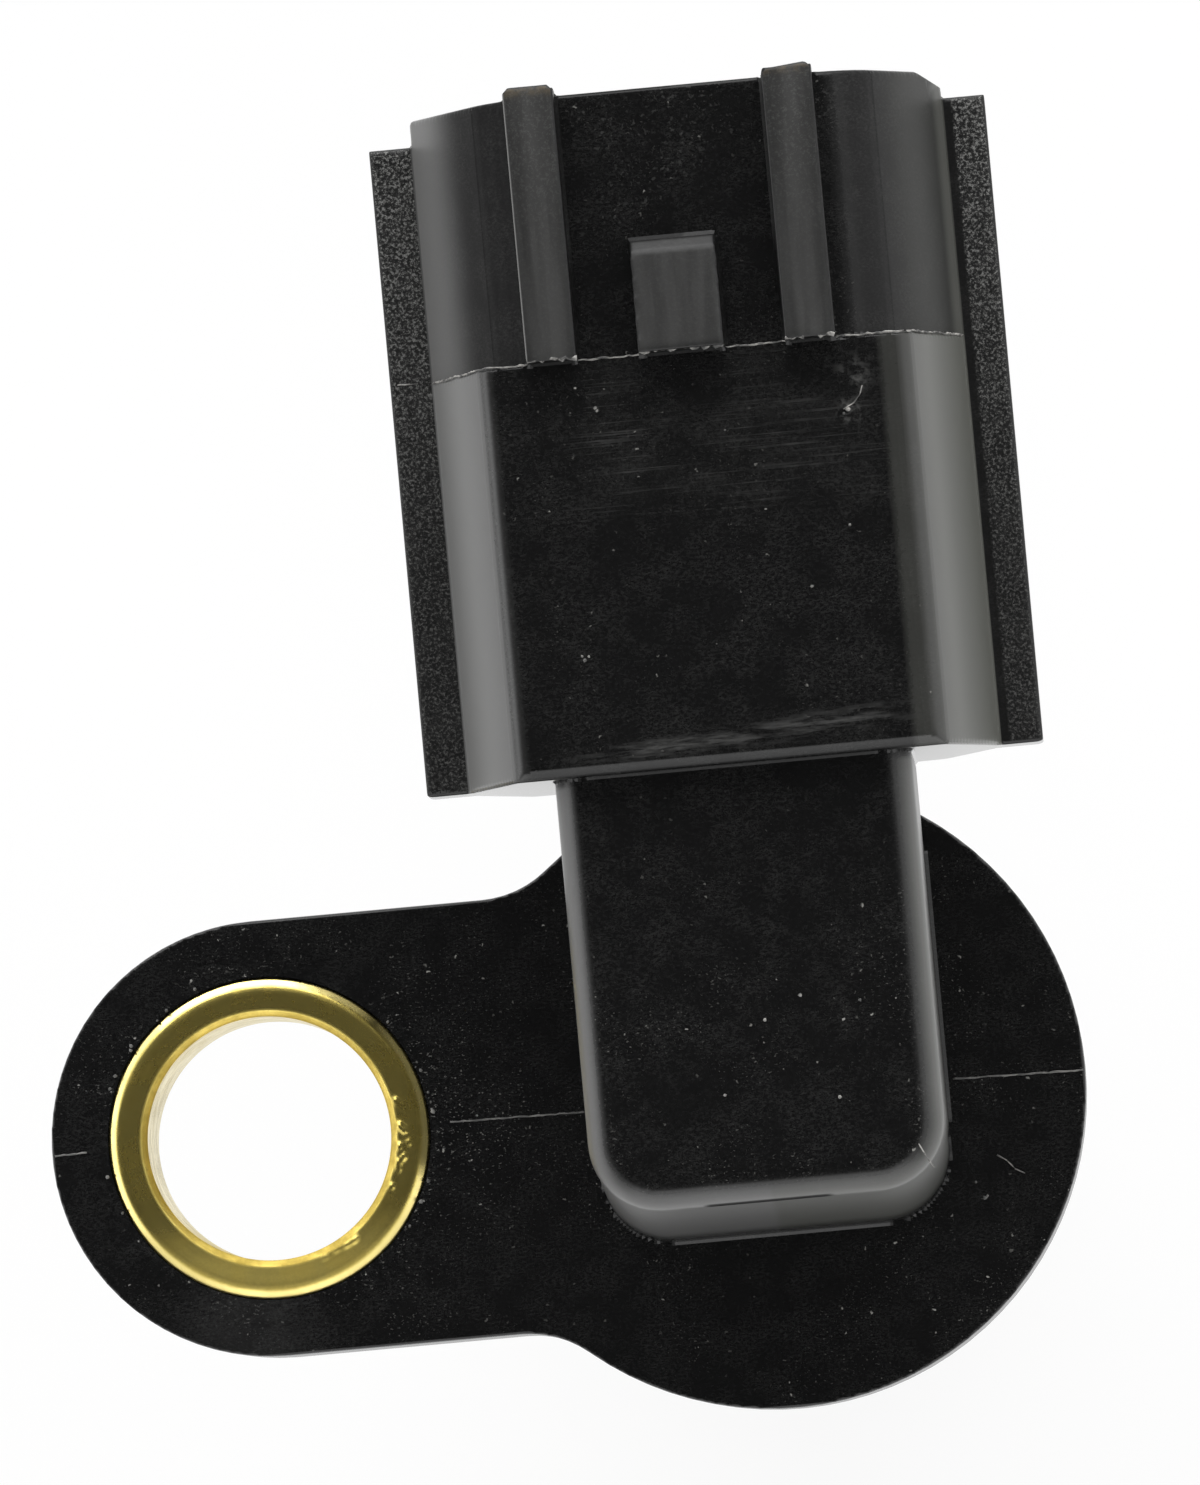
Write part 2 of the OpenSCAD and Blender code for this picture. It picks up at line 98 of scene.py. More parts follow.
class Finish:  # one node tree and the nodes put in it
    def __init__(self, name, owner=None):
        self.owner = owner or bpy.data.materials.new(name)
        self.owner.use_nodes = True
        self.tree = self.owner.node_tree
        self.tree.nodes.clear()

    def node(self, kind, settings=None, sockets=None, output=0):
        made = self.tree.nodes.new("ShaderNode" + kind)
        for key, value in (settings or {}).items():
            setattr(made, key, value)
        for key, value in (sockets or {}).items():
            if isinstance(value, Wire):
                self.tree.links.new(value.socket, made.inputs[key])
            else:
                made.inputs[key].default_value = value
        return Wire(self, made.outputs[output]) if made.outputs else None

    def place(self):  # object coordinates in millimetres
        spot = self.node("TexCoord", output="Object")
        return self.node("VectorMath", {"operation": "SCALE"}, {0: spot, "Scale": 1000.0})

    def split(self, vector):
        x = self.node("SeparateXYZ", None, {0: vector})
        return x, x.also("Y"), x.also("Z")

    def stretch(self, vector, scales):
        return self.node("VectorMath", {"operation": "MULTIPLY"}, {0: vector, 1: scales})

    def noise(self, vector, scale, detail=2.0, rough=0.5):
        return self.node("TexNoise", None, {"Vector": vector, "Scale": scale, "Detail": detail,
                                            "Roughness": rough})

    def cells(self, vector, scale):  # flat cells seen from above
        return self.node("TexVoronoi", {"voronoi_dimensions": "2D"}, {"Vector": vector, "Scale": scale})

    def step(self, value, low, high, a=0.0, b=1.0):  # soft step from a to b
        return self.node("MapRange", {"interpolation_type": "SMOOTHSTEP"},
                         {"Value": value, "From Min": low, "From Max": high, "To Min": a, "To Max": b})

    def within(self, value, low, high, soft):  # 1 between two places, 0 outside
        return self.step(value, low - soft, low + soft) * self.step(value, high - soft, high + soft, 1.0, 0.0)

    def bands(self, value, steps):  # a share is added between each pair of places
        total = 0.0
        for low, high, share in steps:
            total = total + self.step(value, low, high, 0.0, share)
        return total

    def cover(self, vector, scales, scale, detail, rough, low, high):  # soft patches of one noise
        return self.step(self.noise(self.stretch(vector, scales), scale, detail, rough), low, high)

    def patch(self, x, y, middle, near, far):  # 1 about a point, 0 beyond far
        dx, dy = x - middle[0], y - middle[1]
        return self.step(self.node("Math", {"operation": "SQRT"}, {0: dx * dx + dy * dy}), near, far, 1.0, 0.0)

    def mix(self, share, a, b):  # two colours
        a, b = [(*c, 1) if isinstance(c, tuple) and len(c) == 3 else c for c in (a, b)]
        return self.node("Mix", {"data_type": "RGBA"}, {0: share, 6: a, 7: b}, 2)

    def bump(self, height, depth, strength=1.0):  # height runs from 0 to 1 and depth is in millimetres
        return self.node("Bump", None, {"Height": height, "Distance": depth * mm, "Strength": strength})

    def surface(self, sockets, dull=None):  # dull is the share of the surface that has lost its gloss
        shader = self.node("BsdfPrincipled", None, sockets)
        if dull:
            flat = self.node("BsdfPrincipled", None,
                             {**sockets, "Specular IOR Level": dullGloss, "Coat Weight": 0.0})
            shader = self.node("MixShader", None, {0: dull, 1: shader, 2: flat})
        self.node("OutputMaterial", None, {"Surface": shader})
        return self.owner


def piece(name, points, faces, material):
    mesh = bpy.data.meshes.new(name)
    mesh.from_pydata([Vector(p) * mm for p in points], [], faces)
    mesh.validate()
    for polygon in mesh.polygons:
        polygon.use_smooth = True
    return show(bpy.data.objects.new(name, mesh), material)


def show(made, material):
    if made.name not in bpy.context.scene.collection.objects:
        bpy.context.scene.collection.objects.link(made)
    made.data.materials.clear()
    made.data.materials.append(material)
    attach(made, "root")
    return made


# Sizes of the moulding in millimetres, as the frame has them
mouldLow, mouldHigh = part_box("housing")
body = {"flangeTop": 6.0, "shellTop": 17.3, "shellHalf": 7.1, "shellAxisZ": 12.1, "rearY": 8.5,
        "partingY": 19.5, "mouthY": 26.55, "rearTopHalf": 5.65, "rearCorner": 0.6, "earX": -13.6,
        "spotFloor": 5.95, "neckTop": 16.4, "wingTop": 13.1, "ramp": (-1.45, 0.85), "raisedTop": 18.2,
        "ribs": ((-4.425, -3.075), (2.425, 3.775))}

# Camera fitted to the photograph's edges
cameraFit = {"pixelsPerMm": 37.0, "distance": 501.57, "tiltX": 1.735, "tiltY": 2.301, "roll": 5.196,
             "axisPixel": (769.76, 1092.4), "imageSize": (1200, 1485), "sensor": 36.0, "clip": (0.01, 20)}


def makeCamera(fit):
    wide, tall = fit["imageSize"]
    tx, ty, roll = [math.radians(fit[k]) for k in ("tiltX", "tiltY", "roll")]
    rx = Matrix(((1, 0, 0), (0, math.cos(ty), math.sin(ty)), (0, -math.sin(ty), math.cos(ty))))
    ry = Matrix(((math.cos(tx), 0, -math.sin(tx)), (0, 1, 0), (math.sin(tx), 0, math.cos(tx))))
    rz = Matrix(((math.cos(roll), -math.sin(roll), 0), (math.sin(roll), math.cos(roll), 0), (0, 0, 1)))
    toCamera = rx @ ry @ rz
    px, py = fit["axisPixel"]
    offset = Vector(((px - wide / 2) / fit["pixelsPerMm"], -(py - tall / 2) / fit["pixelsPerMm"],
                     -fit["distance"]))
    place = Vector((0, 0, body["flangeTop"])) - toCamera.transposed() @ offset
    data = bpy.data.cameras.new("photoCamera")
    data.sensor_width = fit["sensor"]
    data.lens = fit["sensor"] * fit["distance"] * fit["pixelsPerMm"] / tall
    data.clip_start, data.clip_end = fit["clip"]
    camera = bpy.data.objects.new("photoCamera", data)
    camera.matrix_world = Matrix.Translation(place * mm) @ toCamera.transposed().to_4x4()
    bpy.context.scene.collection.objects.link(camera)
    bpy.context.scene.camera = camera


makeCamera(cameraFit)
print("camera placed")

# Black moulding, dusty and scuffed, with painted sheen on its walls
mouldLook = {"base": (0.003, 0.003, 0.0031), "lift": (0.026, 0.026, 0.0255), "matt": (0.043, 0.043, 0.042),
             "dust": (0.36, 0.355, 0.33), "haze": (0.045, 0.045, 0.044), "scuff": (0.3, 0.3, 0.29),
             # the pale left and right wall colours are painted sheen, a painted reflection of the bright
             # surroundings
             "paintedSheenLeft": (0.15, 0.15, 0.147), "paintedSheenRight": (0.106, 0.108, 0.095), "stain": (0.2, 0.15, 0.08),
             "rough": 0.25, "mattRough": 0.58, "frontRough": 0.34, "rearRough": 0.13, "wallRough": 0.4,
             "gloss": 0.32, "coatRough": 0.42, "coatIndex": 1.7, "grainDeep": 0.03, "grainShare": 0.5}
# Where its marks lie, in millimetres
mouldMarks = {"flangeLevel": (0.4, 0.15, 0.05), "neckLevel": (1.0, 0.1, 0.1), "shellLevel": (0.2, 0.12, 0.05),
              # the neck's sheen ends and the left and right wall bands below place painted sheen
              "neckEnd": (8.2, 8.5), "neckPaintedSheenEnd": (8.2, 8.4), "neckPaintedSheenFoot": (6.1, 8.6),
              "leftRear": ((5.2, 6.8, 1.0),), "leftFront": ((5.7, 7.0, 0.6),),
              "rightRear": ((4.75, 5.05, 0.25), (5.55, 6.2, 0.5), (6.4, 7.0, 0.2)),
              "rightFront": ((5.2, 6.2, 0.15), (6.8, 7.02, 0.4)), "dullFront": (5.5, 6.7),
              "bushDust": ((-8.6, -0.8), 1.0, 4.5), "neckDust": (7.5, 1.5), "mouthMottle": (21.0, 25.0),
              # the haze's place, and where painted shadows of the ribs and the ramp start in it
              "hazeX": (-3.6, 4.9, 1.3), "hazeFrom": 15.2, "hazeSoft": 1.2, "paintedRibShadowFrom": 18.1, "paintedRibShadowSoft": 0.3,
              "scratchX": (-2.2, 1.6, 0.4), "scratchY": (15.24, 15.27, 0.03), "scratchLean": 0.025,
              "smearX": (-3.6, 4.8, 1.6), "smearY": (8.95, 9.45, 0.4), "smearLean": 0.06,
              "scuff": ((3.95, 17.5), 0.05, 0.6), "scuffAbove": ((4.2, 18.5), 0.1, 0.9),
              # the right wing's smooth strip beside the shell also holds painted shade
              "smoothShadedWing": (7.3, 7.42), "wingSalt": (12.0, 25.5), "ribSalt": (21.0, 26.0),
              # the left rib's painted highlight line and the neck end's painted shadow line are placed on this line
              # and the next
              "paintedRibHighlight": (-4.48, -4.39, 0.03), "ribStain": (26.4, 26.85), "paintedNeckEndShadowX": (-1.75, 1.55, 0.15),
              "paintedNeckEndShadowY": (-2.5, -2.7), "paintedNeckEndShadowZ": (15.35, 15.8, 0.06), "earEdge": ((-14.6, -5.2), 0.6, 2.6),
              "rearLow": (6.6, 6.9)}
# Noises in patches: stretch, scale, detail, roughness, and the values where a patch starts and is full
even = (1.0, 1.0, 1.0)
mouldNoise = {"fine": ((1.0, 1.5, 1.0), 10.0, 2.0, 0.6, 0.6, 0.74), "mottle": (even, 7.0, 2.0, 0.6, 0.54, 0.7),
              "hairs": ((0.3, 15.0, 1.0), 1.0, 4.0, 0.65, 0.52, 0.72),
              "veiled": ((0.5, 1.1, 1.0), 1.0, 3.0, 0.5, 0.38, 0.64),
              "wipe": ((0.8, 6.0, 1.0), 1.0, 5.0, 0.7, 0.34, 0.68), "bloom": (even, 4.5, 6.0, 0.85, 0.48, 0.68),
              "streaks": ((3.0, 0.3, 1.0), 1.0, 2.0, 0.5, 0.35, 0.65),
              "pepper": ((1.0, 1.7, 1.0), 9.0, 5.0, 0.85, 0.4, 0.74), "stir": (even, 1.0, 3.0, 0.5, 0.36, 0.64)}
# Cells whose middles are specks: stretch, scale, spread, size of a speck, and the cells that are picked
mouldSpecks = {"small": (even, 3.6, 0.04, (0.01, 0.09), (0.66, 0.95)),
               "large": ((1.0, 1.2, 1.0), 1.25, 0.025, (0.01, 0.04), (0.55, 0.95))}


def mouldFinish(look, marks):
    f = Finish("blackMould")
    place = f.place()
    x, y, z = f.split(place)
    out = abs(x)
    right = f.step(x, -0.1, 0.1)
    up = f.split(f.node("NewGeometry", output="Normal"))[2]
    faceUp = f.step(up, 0.8, 0.97)
    steep = f.step(abs(up), 0.06, 0.3, 1.0, 0.0)
    ofShell = f.step(y, body["rearY"] - 0.2, body["rearY"] - 0.05)
    flangeZone, neckZone, shellZone = [
        f.within(z, body[top] - below, body[top] + above, soft) for top, (below, above, soft) in (
            ("flangeTop", marks["flangeLevel"]), ("neckTop", marks["neckLevel"]), ("shellTop", marks["shellLevel"]))]
    onFlange = flangeZone * faceUp
    onNeck = neckZone * f.step(y, *marks["neckEnd"], 1.0, 0.0)
    onShell = shellZone * faceUp * ofShell
    front = f.step(y, body["partingY"] - 0.02, body["partingY"] + 0.02)
    rear = 1 - front
    wings = f.step(out, body["shellHalf"] + 0.02, body["shellHalf"] + 0.06) * ofShell
    raised = f.step(z, body["shellTop"] + 0.15, body["shellTop"] + 0.3)
    cover = {name: f.cover(place, *settings) for name, settings in mouldNoise.items()}

    # painted reflection: the side walls and the neck are lightened in colour where they would mirror the bright
    # surroundings at a glance
    leftPaintedSheen = rear * f.bands(out, marks["leftRear"]) + front * f.bands(out, marks["leftFront"])
    rightPaintedSheen = rear * f.bands(out, marks["rightRear"]) + front * f.bands(out, marks["rightFront"])
    sidePaintedSheen = (leftPaintedSheen * (1 - right) + rightPaintedSheen * right) * ofShell * (1 - wings) * (1 - raised)
    neckPaintedSheen = f.step(up, 0.55, 0.99, 1.0, 0.0) * f.step(z, *marks["neckPaintedSheenFoot"]) \
        * f.step(y, *marks["neckPaintedSheenEnd"], 1.0, 0.0)

    # dust on what faces up: fine flecks in patches, small specks and a few large ones
    warp = f.stretch(f.noise(place, 9.0, 1.0).also("Color"), (0.16, 0.16, 0.0))
    loose = f.node("VectorMath", {"operation": "ADD"}, {0: place, 1: warp})
    specks = {}
    for name, (scales, scale, spread, sizes, picks) in mouldSpecks.items():
        cell = f.cells(f.stretch(loose, scales), scale)
        pick = f.split(cell.also("Color"))
        specks[name] = f.step(cell - spread * pick[1], *sizes, 1.0, 0.0) * f.step(pick[0], *picks)
    clouds = f.noise(place, 0.42, 3.0)
    patches = f.step(clouds, 0.4, 0.62)
    film = f.noise(place, 3.4, 6.0, 0.72)
    nearBush = f.patch(x, y, *marks["bushDust"])
    dusty = onFlange + onNeck * faceUp * f.step(y, *marks["neckDust"], 0.3, 1.0) + onShell * 0.6
    dust = (cover["fine"] * (0.06 + 0.26 * patches + 0.26 * nearBush) + specks["small"] * (0.04 + 0.32 * patches)
            + specks["large"] * (0.25 + 0.6 * patches)) * dusty
    mottle = cover["mottle"] * onShell * front * (0.25 + 0.75 * f.step(y, *marks["mouthMottle"])) \
        * (0.35 + 0.65 * patches)

    # haze with hairlines behind the latch, painted shadows of the ribs and the ramp cut out of it, a smear at the
    # rear and one scuff
    # painted shadow: strips behind the ribs and the ramp are left without haze, where their shadows fall
    paintedRibShadow = 0.0
    for left, end in (*body["ribs"], body["ramp"]):
        paintedRibShadow = paintedRibShadow + f.within(x, left - 0.05, end + 0.05, 0.16) \
            * f.within(y, marks["paintedRibShadowFrom"], body["partingY"], marks["paintedRibShadowSoft"])
    hazeZone = onShell * f.within(y, marks["hazeFrom"], body["partingY"], marks["hazeSoft"]) \
        * f.within(x, *marks["hazeX"]) * rear
    haze = hazeZone * (1 - f.step(paintedRibShadow, 0.0, 1.0)) \
        * (0.06 + 0.1 * cover["veiled"] + cover["hairs"] * (0.16 + 0.5 * cover["veiled"]))
    longScratch = f.within(y + marks["scratchLean"] * x, *marks["scratchY"]) * f.within(x, *marks["scratchX"]) \
        * onShell * f.step(film, 0.4, 0.6)
    smear = onShell * f.within(y - marks["smearLean"] * x, *marks["smearY"]) * f.within(x, *marks["smearX"]) \
        * cover["wipe"]
    scuff = onShell * (f.patch(x, y, *marks["scuff"]) + 0.7 * f.patch(x, y, *marks["scuffAbove"])) \
        * f.step(film, 0.42, 0.66)
    bloom = onShell * rear * cover["bloom"] * f.step(clouds, 0.36, 0.56)
    veil = f.step(bloom * 0.2 + haze + smear * 0.9, 0.0, 1.0)
    wear = longScratch * 0.2 + smear * 0.16 + scuff * 0.45 + mottle * 0.2

    # grain of the wings, duller tops of the ribs and of the ramp, a painted shadow line across the neck's end
    grain = f.noise(place, 12.0, 4.0, 0.85)
    salt = f.step(grain, 0.46, 0.62)
    # the right wing's strip beside the shell stays smooth and free of pale salt; its darker colour is painted shade
    # from the shell wall
    grittyUnshaded = 1 - right * f.step(out, *marks["smoothShadedWing"], 1.0, 0.0)
    wingSalt = wings * faceUp * grittyUnshaded * (0.5 + 0.5 * f.step(y, *marks["wingSalt"])) * salt
    ridgeTop = raised * faceUp
    crown = 0.62 * f.within(x, *body["ramp"], 0.1)
    for left, end in body["ribs"]:
        crown = crown + (0.58 + 0.35 * f.within(x, left + 0.45, end - 0.3, 0.35)) * f.within(x, left, end, 0.1)
    matt = ridgeTop * crown * (0.85 + 0.25 * cover["streaks"]) + wings * 0.2
    ridgeSalt = ridgeTop * salt * (0.1 + 0.1 * f.step(y, *marks["ribSalt"]))
    # painted highlight: a pale line along the left rib's rounded left edge
    paintedRibHighlight = raised * f.within(x, *marks["paintedRibHighlight"])
    ribStain = ridgeTop * f.step(y, *marks["ribStain"]) * f.step(film, 0.4, 0.6)
    # painted shadow: a near-black line across the neck's end, where a small mould step throws shade
    paintedNeckEndShadow = f.within(z, *marks["paintedNeckEndShadowZ"]) * f.within(x, *marks["paintedNeckEndShadowX"]) * f.step(y, *marks["paintedNeckEndShadowY"])
    earEdge = f.patch(x, y, *marks["earEdge"]) * onFlange
    pepper = cover["pepper"] * (0.35 + 0.65 * cover["stir"])

    # colour, from the plastic up to the dust that lies on it, with painted sheen, painted shadows and a painted
    # highlight among the layers
    tone = f.mix(pepper + earEdge * (0.3 + 0.7 * pepper), look["base"], look["lift"])
    tone = f.mix(f.step(matt, 0.0, 1.35, 0.0, 1.35), tone, look["matt"])
    # painted sheen: the walls take a pale colour in place of the surroundings they mirror
    paintedSheenTone = f.mix(right, look["paintedSheenLeft"], look["paintedSheenRight"])
    tone = f.mix(sidePaintedSheen * 0.9 + neckPaintedSheen * 0.38, tone, paintedSheenTone)
    # the neck end's painted shadow line goes in here as near-black
    tone = f.mix(paintedNeckEndShadow, f.mix(veil, tone, look["haze"]), look["base"])
    # scuffs, pale salt and the left rib's painted highlight take one pale colour
    tone = f.mix(f.step(wear + wingSalt * 0.68 + ridgeSalt + paintedRibHighlight * 0.5, 0.0, 1.0), tone, look["scuff"])
    tone = f.mix(ribStain * 0.4, tone, look["stain"])
    tone = f.mix(f.step(dust, 0.0, 1.0), tone, look["dust"])

    # gloss
    rough = look["rough"] + matt * (look["mattRough"] - look["rough"]) \
        + front * (1 - faceUp) * (look["frontRough"] - look["rough"]) \
        + (dust + wear + veil) * 0.25 + (film - 0.5) * 0.1
    rearFace = steep * f.within(y, body["rearY"] - 0.15, body["rearY"] + 0.12, 0.1) * f.step(z, *marks["rearLow"])
    walls = f.step(sidePaintedSheen + neckPaintedSheen * 0.8, 0.0, 0.8)
    rough = rough + walls * (look["wallRough"] - rough)
    rough = rough + rearFace * (look["rearRough"] - rough)
    dullSide = front * ofShell * (1 - faceUp) * (1 - raised) * f.step(out, *marks["dullFront"], 1.0, 0.0) \
        * (0.92 - 0.4 * right)
    height = grain * (0.06 + 0.94 * wings * faceUp * grittyUnshaded) * (1 - 0.9 * steep) + dust * 0.7
    return f.surface({"Base Color": tone, "Roughness": rough,
                      "Normal": f.bump(height, look["grainDeep"], look["grainShare"]),
                      "Specular IOR Level": look["gloss"], "Coat Roughness": look["coatRough"],
                      "Coat IOR": look["coatIndex"],
                      "Coat Weight": (sidePaintedSheen + neckPaintedSheen * 0.7) * (1 - rearFace) * (1 - paintedNeckEndShadow)}, dullSide + paintedNeckEndShadow)


# Housing: the frame's own form with the soft edges of a moulding
mould = {"voxel": 0.08, "smoothing": 2, "relax": 0.5, "triangles": 190000, "merge": 0.001,
         "edgeStep": 0.01, "snap": 0.06, "cornerMerge": 0.002, "corner": 0.13, "sharp": math.radians(20),
         "rimReach": 5.3, "rimLow": 5.8, "cutFrom": 6.45, "cutTo": 7.13, "cutSlope": 0.65, "ribEnd": 26.8,
         "ribRound": 0.16, "ribSlant": 0.13, "ribDeep": 0.3, "ribSide": 0.05}


def makeMould(size):
    exact = bpy.data.objects.new("mouldExact", nodes["housing"].data.copy())
    edit = bmesh.new()
    edit.from_mesh(exact.data)
    bmesh.ops.remove_doubles(edit, verts=edit.verts, dist=size["merge"] * mm)
    for face in edit.faces:
        face.smooth = False
    edit.to_mesh(exact.data)
    edit.free()
    dense = bpy.data.objects.new("mouldDense", exact.data.copy())
    for made in (exact, dense):
        bpy.context.scene.collection.objects.link(made)
    remesh = dense.modifiers.new("soften", "REMESH")
    remesh.mode, remesh.voxel_size, remesh.use_smooth_shade = "VOXEL", size["voxel"] * mm, True
    relax = dense.modifiers.new("relax", "SMOOTH")
    relax.iterations, relax.factor = size["smoothing"], size["relax"]
    dense.data = settled(dense)
    wrap = dense.modifiers.new("wrap", "SHRINKWRAP")  # inside corners go back to sharp
    wrap.target, wrap.wrap_method, wrap.wrap_mode = exact, "NEAREST_SURFACEPOINT", "INSIDE"
    dense.data = settled(dense)
    drawCorners(dense, insideEdges(exact.data, size), size)
    light = bpy.data.objects.new("housingMould", dense.data.copy())
    light.vertex_groups.new(name="corner")
    bpy.context.scene.collection.objects.link(light)
    thin = light.modifiers.new("thin", "DECIMATE")
    thin.ratio = min(1.0, size["triangles"] / (2 * len(dense.data.polygons)))
    light.data = settled(light)
    carry = light.modifiers.new("carry", "DATA_TRANSFER")  # the dense form's shading
    carry.object, carry.use_loop_data, carry.data_types_loops = dense, True, {"CUSTOM_NORMAL"}
    carry.loop_mapping = "POLYINTERP_NEAREST"
    light.data = settled(light)
    flattenShading(light.data, size)
    wearMouth(light.data, size)
    for made in (exact, dense):
        bpy.data.objects.remove(made)
    light.vertex_groups.clear()
    for point in light.data.vertices:
        point.co = Vector(min(max(c, a), b) for c, a, b in zip(point.co, mouldLow, mouldHigh))
    return light


def alongLine(a, b, step):
    a, b = Vector(a), Vector(b)
    many = max(2, round((b - a).length / step))
    return [a.lerp(b, i / many) for i in range(many + 1)]


def insideEdges(mesh, size):  # points along every sharp inside edge
    edit = bmesh.new()
    edit.from_mesh(mesh)
    spots = []
    for edge in edit.edges:
        if len(edge.link_faces) == 2 and edge.calc_face_angle_signed() < -size["sharp"]:
            spots += alongLine(edge.verts[0].co, edge.verts[1].co, size["edgeStep"] * mm)
    edit.free()
    tree = KDTree(len(spots))
    for i, spot in enumerate(spots):
        tree.insert(spot, i)
    tree.balance()
    return tree


def drawCorners(made, tree, size):  # points beside an inside edge move onto it
    near = []
    for point in made.data.vertices:
        spot, _, far = tree.find(point.co)
        if far < size["corner"] * mm:
            near.append(point.index)
        if far < size["snap"] * mm:
            point.co = spot
    made.vertex_groups.new(name="corner").add(near, 1.0, "REPLACE")
    edit = bmesh.new()
    edit.from_mesh(made.data)
    bmesh.ops.remove_doubles(edit, verts=edit.verts, dist=size["cornerMerge"] * mm)
    edit.to_mesh(made.data)
    edit.free()


def flattenShading(mesh, size):  # flat beside inside edges, level about the bushing
    shading = np.array([c.vector for c in mesh.corner_normals])
    owner = np.array([loop.vertex_index for loop in mesh.loops])
    corner = np.array([any(g.weight > 0.5 for g in v.groups) for v in mesh.vertices])
    flat = np.repeat(np.array([p.normal for p in mesh.polygons]), [p.loop_total for p in mesh.polygons],
                     axis=0)
    shading[corner[owner]] = flat[corner[owner]]
    spots = pointArray(mesh) / mm
    fromBush = np.hypot(spots[:, 0] - body["earX"], spots[:, 1])
    level = (fromBush < size["rimReach"]) & (spots[:, 2] > size["rimLow"])
    shading[level[owner]] = (0, 0, 1)
    mesh.normals_split_custom_set(shading.tolist())


def wearMouth(mesh, size):  # the right corner is cut at a slant and the ribs end in soft corners
    spots = pointArray(mesh) / mm
    x, y, z = spots.T
    reach = np.full(len(spots), np.inf)
    cut = (x > size["cutFrom"]) & (x < size["cutTo"])
    reach[cut] = body["mouthY"] - (x[cut] - size["cutFrom"]) * size["cutSlope"]
    for left, end in body["ribs"]:
        onRib = (z > body["shellTop"] - size["ribDeep"]) & (x > left - size["ribSide"]) & (x < end + size["ribSide"])
        side = np.minimum(x - left, end - x)[onRib]
        reach[onRib] = size["ribEnd"] - np.maximum(0, size["ribRound"] - side)
        if left > 0:
            reach[onRib] -= size["ribSlant"] * (end - x[onRib]) / (end - left)
    spots[:, 1] = np.minimum(y, reach)
    mesh.vertices.foreach_set("co", (spots * mm).ravel())


def pointArray(mesh):
    flat = np.empty(3 * len(mesh.vertices))
    mesh.vertices.foreach_get("co", flat)
    return flat.reshape(-1, 3)


def settled(made):
    shape = bpy.data.meshes.new_from_object(made.evaluated_get(bpy.context.evaluated_depsgraph_get()),
                                            preserve_all_data_layers=True,
                                            depsgraph=bpy.context.evaluated_depsgraph_get())
    made.modifiers.clear()
    for polygon in shape.polygons:
        polygon.use_smooth = True
    return shape


mouldMaterial = mouldFinish(mouldLook, mouldMarks)
housingMould = show(makeMould(mould), mouldMaterial)
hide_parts("housing")
print("housing moulded:", len(housingMould.data.polygons), "faces")

# Bushing: turned brass with a row of small bruises beside the bore
bush = {"bore": 3.3, "outer": 4.35, "top": 6.05, "rimWide": 0.42, "rimHigh": 0.2, "innerRim": 0.16,
        "grooveLow": 2.225, "grooveHigh": 3.825, "grooveR": 4.0, "turns": 360, "lumpArc": 0.12, "lumpReach": 0.1,
        "lumpRise": 1.5, "sharp": math.radians(50), "rimFoot": ((0.0, 0.03), (0.006, 0.008)),
        "rimStart": (0.02, 0.93), "flatRings": 15, "flatIn": 0.04, "flatOut": 0.02,
        "boreRings": (0.3, 0.45, 0.7, 1.1, 1.8, 3.2)}
# the two rounded rims, as shares of their width and height
rimCurve = ((0.15, 0.78), (0.3, 0.57), (0.45, 0.36), (0.52, 0.27), (0.62, 0.18), (0.8, 0.07), (0.95, 0.01))
innerCurve = ((1.0, 0.025), (0.75, 0.3), (0.4, 0.62), (0.125, 0.95), (0.0, 1.2))
# the bruises: turn in degrees, distance from the bore and height
lumps = ((11, 0.27, 0.05), (8, 0.36, 0.03), (0, 0.25, 0.06), (-2, 0.37, 0.06), (-7, 0.47, 0.05), (-9, 0.24, 0.06),
         (-13, 0.38, 0.06), (-16, 0.26, 0.05), (-19, 0.31, 0.04), (-27, 0.26, 0.05), (-31, 0.36, 0.02),
         (-55, 0.3, 0.05), (-59, 0.27, 0.05), (-64, 0.22, 0.04), (-70, 0.26, 0.03))
brassLook = {"base": (0.86, 0.7, 0.2), "dull": (0.62, 0.49, 0.125), "rim": (0.93, 0.78, 0.3),
             "stain": (0.28, 0.21, 0.06), "edge": (1.0, 1.0, 0.98, 1), "rough": 0.18, "lowRough": 0.4,
             "rimRough": 0.3, "lowSide": (-1.5, -3.6), "outerRim": (4.1, 4.2), "innerRim": (3.54, 3.46),
             "rimAbove": (5.7, 5.8), "turnDeep": 0.02, "turnShare": 0.5}


def brassFinish(look):
    f = Finish("turnedBrass")
    place = f.place()
    x, y, z = f.split(place)
    dx = x - body["earX"]
    reach = f.node("Math", {"operation": "SQRT"}, {0: dx * dx + y * y})
    turning = f.noise(f.node("CombineXYZ", None, {"X": reach, "Y": z}), 9.0, 3.0, 0.7)
    cloud = f.noise(place, 1.3, 4.0, 0.65)
    spots = f.step(f.noise(place, 2.6, 5.0, 0.7), 0.62, 0.75)
    tone = f.mix(f.step(cloud, 0.35, 0.68), look["dull"], look["base"])
    tone = f.mix(spots * 0.55, tone, look["stain"])
    tone = f.mix(f.step(reach, *look["outerRim"]), tone, look["rim"])
    rough = look["rough"] + (turning - 0.5) * 0.12 + f.step(cloud, 0.3, 0.7, 0.12, 0.0) + spots * 0.15 \
        + f.step(y, *look["lowSide"]) * (look["lowRough"] - look["rough"]) \
        + f.step(reach, *look["innerRim"]) * f.step(z, *look["rimAbove"]) * look["rimRough"]
    height = turning * 0.35 + cloud * 0.65
    return f.surface({"Base Color": tone, "Metallic": 1.0, "Roughness": rough,
                      "Normal": f.bump(height, look["turnDeep"], look["turnShare"]), "Specular Tint": look["edge"]})


